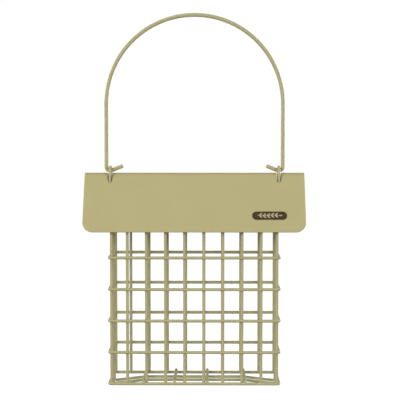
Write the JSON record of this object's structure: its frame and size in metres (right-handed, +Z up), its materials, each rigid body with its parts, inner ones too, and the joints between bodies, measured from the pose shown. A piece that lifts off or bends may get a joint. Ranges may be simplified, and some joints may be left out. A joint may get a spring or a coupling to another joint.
{
  "type": "hanging bird feeder",
  "caption": "Wire cage for a cake of bird food under a folded sheet-metal roof, hung from an arched wire handle hooked through eyes at the ridge.",
  "frame": {"origin": "the inside top of the handle's arch, where the feeder hangs from a branch or bracket hook", "axes": "+Z up; +X along the roof's ridge; -Y the front, the face of the roof that carries the badge"},
  "size_m": [0.1698, 0.0578, 0.2877],
  "materials": {
    "cage_coat": "satin powder coat",
    "roof_coat": "satin powder coat",
    "handle_coat": "satin powder coat",
    "badge_coat": "satin"
  },
  "bodies": {
    "handle": {"handle": "handle_coat"},
    "cage": {"front_upright_1": "cage_coat", "front_upright_2": "cage_coat", "front_upright_3": "cage_coat", "front_upright_4": "cage_coat", "front_upright_5": "cage_coat", "front_upright_6": "cage_coat", "front_upright_7": "cage_coat", "front_upright_8": "cage_coat", "front_upright_9": "cage_coat", "front_upright_10": "cage_coat", "back_upright_1": "cage_coat", "back_upright_2": "cage_coat", "back_upright_3": "cage_coat", "back_upright_4": "cage_coat", "back_upright_5": "cage_coat", "back_upright_6": "cage_coat", "back_upright_7": "cage_coat", "back_upright_8": "cage_coat", "back_upright_9": "cage_coat", "back_upright_10": "cage_coat", "ring_1": "cage_coat", "ring_2": "cage_coat", "ring_3": "cage_coat", "ring_4": "cage_coat", "ring_5": "cage_coat", "ring_6": "cage_coat", "floor_wire_1": "cage_coat", "floor_wire_2": "cage_coat", "floor_wire_3": "cage_coat", "floor_wire_4": "cage_coat", "sling": "cage_coat"},
    "roof": {"roof": "roof_coat", "badge": "badge_coat"}
  },
  "joints": [
    {"name": "cage_swing", "type": "hinge", "parent": "handle", "child": "cage", "pos_m": [0, 0, -0.11835], "axis": [1, 0, 0], "range_deg": [-95, 95]},
    {"name": "roof_lift", "type": "slide", "parent": "cage", "child": "roof", "axis": [0, 0, 1], "range_m": [0, 0.0002]}
  ]
}
